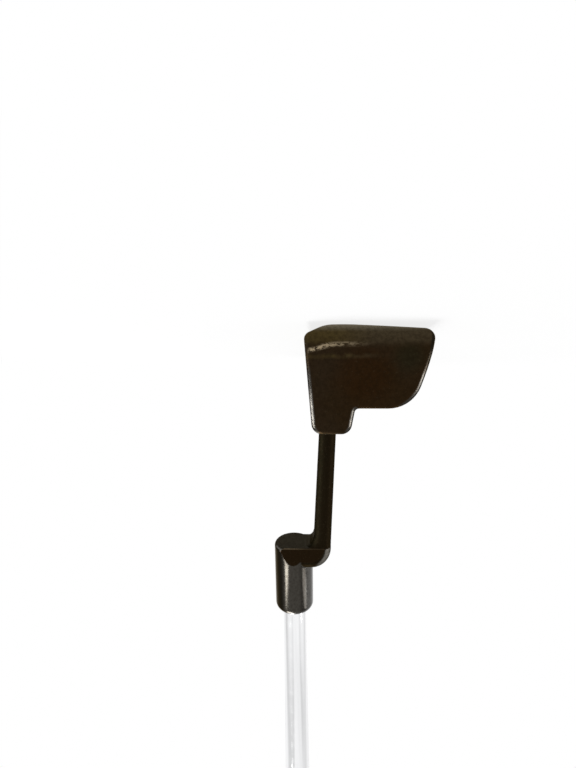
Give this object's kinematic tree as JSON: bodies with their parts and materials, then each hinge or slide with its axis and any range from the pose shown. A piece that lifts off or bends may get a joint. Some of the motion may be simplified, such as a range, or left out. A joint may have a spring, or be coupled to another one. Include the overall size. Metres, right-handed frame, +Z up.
{
  "type": "putter",
  "caption": "Right-handed blade putter: bronze heel-and-toe-weighted head with an offset neck, tapered steel shaft and a pistol grip with a flat front.",
  "frame": {"origin": "middle of the sole's flat land, on the ground, midway between toe and heel", "axes": "+X to the toe, +Y to the target (out of the striking face), +Z up, with the putter at address"},
  "size_m": [0.397, 0.0494, 0.8438],
  "materials": {
    "bronze": "semi-gloss dark brown patina, worn brighter on the edges",
    "sight_paint": "matt paint fill",
    "adhesive": "cured adhesive",
    "shaft_chrome": "bright chrome plate",
    "tape": "matt paper tape",
    "grip_rubber": "matt black, moulded texture"
  },
  "bodies": {
    "root": {"putter_head": "bronze", "sight_line": "sight_paint", "hosel_epoxy": "adhesive", "shaft": "shaft_chrome", "grip_tape": "tape", "grip_sleeve": "grip_rubber", "grip_cap": "grip_rubber"}
  },
  "joints": []
}
